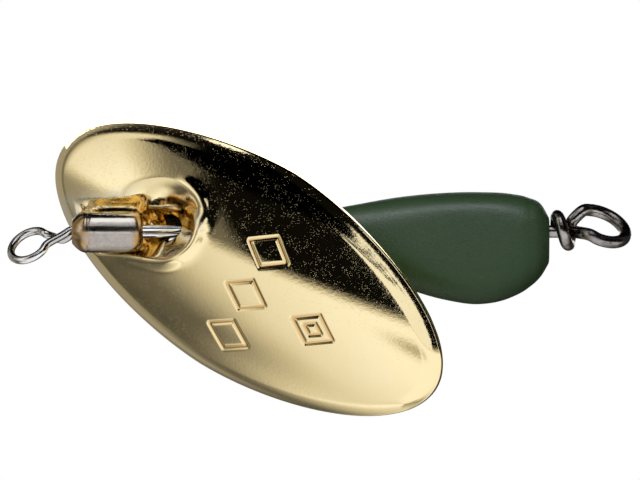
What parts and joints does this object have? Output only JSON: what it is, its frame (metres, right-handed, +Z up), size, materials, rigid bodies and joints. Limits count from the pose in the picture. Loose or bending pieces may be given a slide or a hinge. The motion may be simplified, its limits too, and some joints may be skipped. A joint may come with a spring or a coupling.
{
  "type": "inline spinner",
  "caption": "Inline fishing spinner: a skewed, domed gilt blade on a bearing barrel turns round a doubled wire shaft ahead of a fixed keel weight with a wire eye at each end.",
  "frame": {"origin": "centre of the line eye", "axes": "+X along the shaft from the line eye to the hook eye, +Z up with the weight's keel down, the blade's domed face towards -Y; the shaft's axis is 0.854 mm above the origin"},
  "size_m": [0.0396, 0.0095, 0.0187],
  "materials": {
    "bright_wire": "bright drawn spring steel",
    "dull_wire": "dark tempered spring steel with fine pits",
    "green_paint": "matt dark green paint",
    "brass": "polished",
    "gold_plate": "polished gold plate",
    "nickel": "nickel plated, heat stained at its ends",
    "braze": "as flowed, heat tinted"
  },
  "bodies": {
    "frame": {"shaft_wire": "bright_wire", "hook_wire": "dull_wire", "body_weight": "green_paint"},
    "bead": {"thrust_bead": "brass"},
    "rotor": {"blade": "gold_plate", "bearing_barrel": "nickel", "braze_fillet": "braze"}
  },
  "joints": [
    {"name": "bead_slide", "type": "slide", "parent": "frame", "child": "bead", "axis": [1, 0, 0], "range_m": [0, 0.0005]},
    {"name": "blade_spin", "type": "hinge", "parent": "bead", "child": "rotor", "pos_m": [0.005, 0, 0.00085], "axis": [1, 0, 0], "continuous": true}
  ]
}
